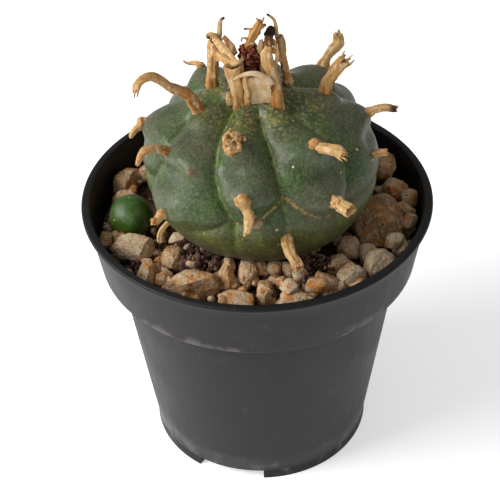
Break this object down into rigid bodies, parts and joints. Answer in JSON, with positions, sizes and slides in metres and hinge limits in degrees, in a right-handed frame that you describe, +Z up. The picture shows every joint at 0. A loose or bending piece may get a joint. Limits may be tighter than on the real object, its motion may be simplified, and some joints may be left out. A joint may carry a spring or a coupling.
{
  "type": "potted round cactus",
  "caption": "Low ribbed round cactus with dried wool tufts and a small offset, rooted in gravel in a tapered plastic nursery pot.",
  "frame": {"origin": "on the ground under the pot's axis, at the centre of the bounding box's base", "axes": "+Z up along the pot's axis; the small offset and the long arched tuft are on the -X side, and -Y is the side with the bean-shaped stone"},
  "size_m": [0.09, 0.09, 0.127],
  "materials": {
    "pot_plastic": "satin",
    "potting_mix": "matte",
    "stem_skin": "matte",
    "pup_skin": "satin",
    "dried_wool": "matte",
    "dried_flower": "matte",
    "papery_remains": "matte",
    "gravel": "matte"
  },
  "bodies": {
    "root": {"pot": "pot_plastic", "potting_mix": "potting_mix", "cactus_stem": "stem_skin", "offset_pup": "pup_skin", "crown_column_left": "dried_wool", "crown_column_front": "dried_wool", "crown_column_right": "dried_wool", "crown_column_back": "dried_wool", "crown_tuft_behind": "dried_wool", "arched_tuft_left": "dried_wool", "shoulder_tuft_right": "dried_wool", "shoulder_tuft_front": "dried_wool", "shoulder_tuft_centre_right": "dried_wool", "shoulder_tuft_back_right": "dried_wool", "shoulder_tuft_back": "dried_wool", "shoulder_tuft_back_left": "dried_wool", "flank_tuft_right": "dried_wool", "flank_tuft_left": "dried_wool", "flank_tuft_far_left": "dried_wool", "flank_tuft_front": "dried_wool", "flank_tuft_front_right": "dried_wool", "flank_tuft_far_right": "dried_wool", "flank_tuft_back_right": "dried_wool", "flank_tuft_back": "dried_wool", "flank_tuft_back_left": "dried_wool", "low_tuft_left": "dried_wool", "low_tuft_bottom_left": "dried_wool", "low_tuft_front": "dried_wool", "crown_dried_flower": "dried_flower", "crown_papery_sheet": "papery_remains", "stone_back_left_long": "gravel", "stone_left_flat": "gravel", "stone_left_rim": "gravel", "stone_left_blocky": "gravel", "stone_front_left_small": "gravel", "stone_front_left_rough": "gravel", "stone_front_bean": "gravel", "stone_front_leaning": "gravel", "stone_front_tall": "gravel", "stone_front_rim": "gravel", "stone_front_pebble": "gravel", "stone_front_right_rim": "gravel", "stone_right_small": "gravel", "stone_right_oval": "gravel", "stone_right_pale": "gravel", "stone_right_holed": "gravel", "stone_right_wedge": "gravel", "stone_right_pitted": "gravel", "stone_right_big": "gravel", "stone_right_cream": "gravel", "stone_right_slate": "gravel", "stone_right_rust": "gravel", "stone_back_right_tan": "gravel", "stone_back_left_round": "gravel", "stone_back_bean": "gravel", "stone_back_pale": "gravel"}
  },
  "joints": []
}
